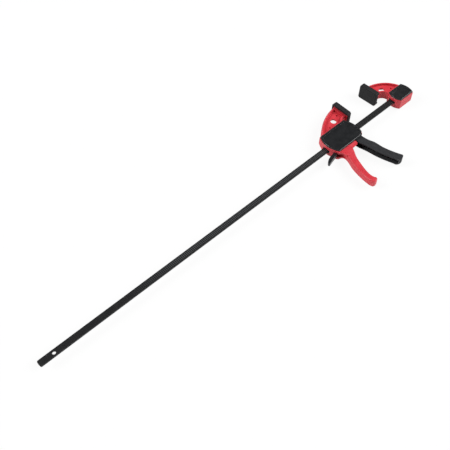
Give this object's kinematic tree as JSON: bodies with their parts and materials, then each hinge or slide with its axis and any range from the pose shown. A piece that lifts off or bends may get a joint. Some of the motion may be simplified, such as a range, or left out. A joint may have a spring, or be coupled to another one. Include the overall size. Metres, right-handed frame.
{
  "type": "quick release bar clamp",
  "caption": "One-handed bar clamp: a flat steel bar with a pinned fixed jaw and a sliding head with grip, pump trigger, release lever and soft jaw pads.",
  "frame": {"origin": "centre of the cross hole near the free end of the bar, half way through the bar's thickness", "axes": "+X along the bar to the fixed jaw, +Y the side on which the jaws stand up, +Z across the clamp, out of the face that carries the black cover plates"},
  "size_m": [1.2008, 0.2474, 0.0426],
  "materials": {
    "red_nylon": "glass-filled nylon, moulded with a fine satin grain",
    "black_plastic": "black nylon, fine moulded texture",
    "soft_pad": "soft black elastomer, dull",
    "black_bar": "blackened steel, satin, finely cross-ribbed on both faces",
    "plain_steel": "plain hardened steel",
    "spring_steel": "oiled spring wire"
  },
  "bodies": {
    "bar": {"bar": "black_bar", "bar_stop": "black_bar", "fixed_jaw": "red_nylon", "fixed_jaw_collar": "black_plastic", "fixed_jaw_cover": "black_plastic", "fixed_jaw_pin": "plain_steel", "fixed_jaw_screws": "plain_steel", "fixed_pad": "soft_pad"},
    "head": {"head_body": "red_nylon", "head_cover": "black_plastic", "head_screws": "plain_steel", "rear_guide": "black_plastic", "front_guide": "black_plastic", "moving_pad": "soft_pad", "trigger_pin": "plain_steel", "lever_pin": "plain_steel", "brake_spring_post": "plain_steel", "spring_washer": "plain_steel", "drive_spring": "spring_steel", "brake_spring": "spring_steel"},
    "trigger": {"trigger": "black_plastic", "trigger_bushing": "plain_steel", "drive_roller": "plain_steel"},
    "drive_plates": {"drive_plate_front": "plain_steel", "drive_plate_rear": "plain_steel"},
    "release_lever": {"release_lever": "black_plastic", "brake_plate": "plain_steel"}
  },
  "joints": [
    {"name": "head_slide", "type": "slide", "parent": "bar", "child": "head", "axis": [1, 0, 0], "range_m": [-0.81, 0.0945]},
    {"name": "trigger_pivot", "type": "hinge", "parent": "head", "child": "trigger", "pos_m": [0.92, 0.02, 0], "axis": [0, 0, -1], "range_deg": [0, 21], "stiffness_Nm_per_rad": 1.5, "springref_deg": -11.46},
    {"name": "drive_plates_slide", "type": "slide", "parent": "head", "child": "drive_plates", "axis": [-1, 0, 0], "range_m": [0, 0.01228], "deforming": ["drive_spring"]},
    {"name": "release_lever_pivot", "type": "hinge", "parent": "head", "child": "release_lever", "pos_m": [0.852, -0.022, 0], "axis": [0, 0, 1], "range_deg": [0, 7], "stiffness_Nm_per_rad": 0.5, "springref_deg": -17.19, "deforming": ["brake_spring"]}
  ],
  "couplings": [
    {"joint": "drive_plates_slide", "follows": "trigger_pivot", "m_per_rad": 0.0335}
  ]
}
